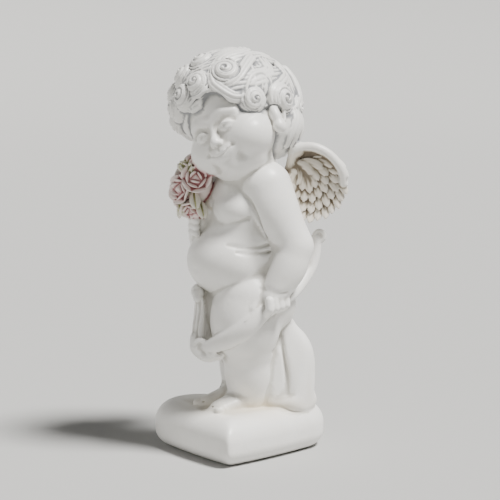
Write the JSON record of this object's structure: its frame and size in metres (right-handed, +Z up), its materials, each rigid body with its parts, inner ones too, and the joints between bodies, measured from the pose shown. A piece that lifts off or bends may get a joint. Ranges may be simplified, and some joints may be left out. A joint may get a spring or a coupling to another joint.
{
  "type": "cherub statue",
  "caption": "Cast garden statuette of a chubby winged cherub on a heart-shaped plinth, holding a rose posy in one hand and a lowered bow in the other.",
  "frame": {"origin": "middle of the heart-shaped plinth's flat underside", "axes": "+Z up; the figure looks along -Y and its left side (the bow) is +X"},
  "size_m": [0.1004, 0.0961, 0.2488],
  "materials": {
    "cast_stone": "white painted cast stone resin, satin, with a thin warm wash in the carving and tinted roses"
  },
  "bodies": {
    "root": {"cherub_statue": "cast_stone"}
  },
  "joints": []
}
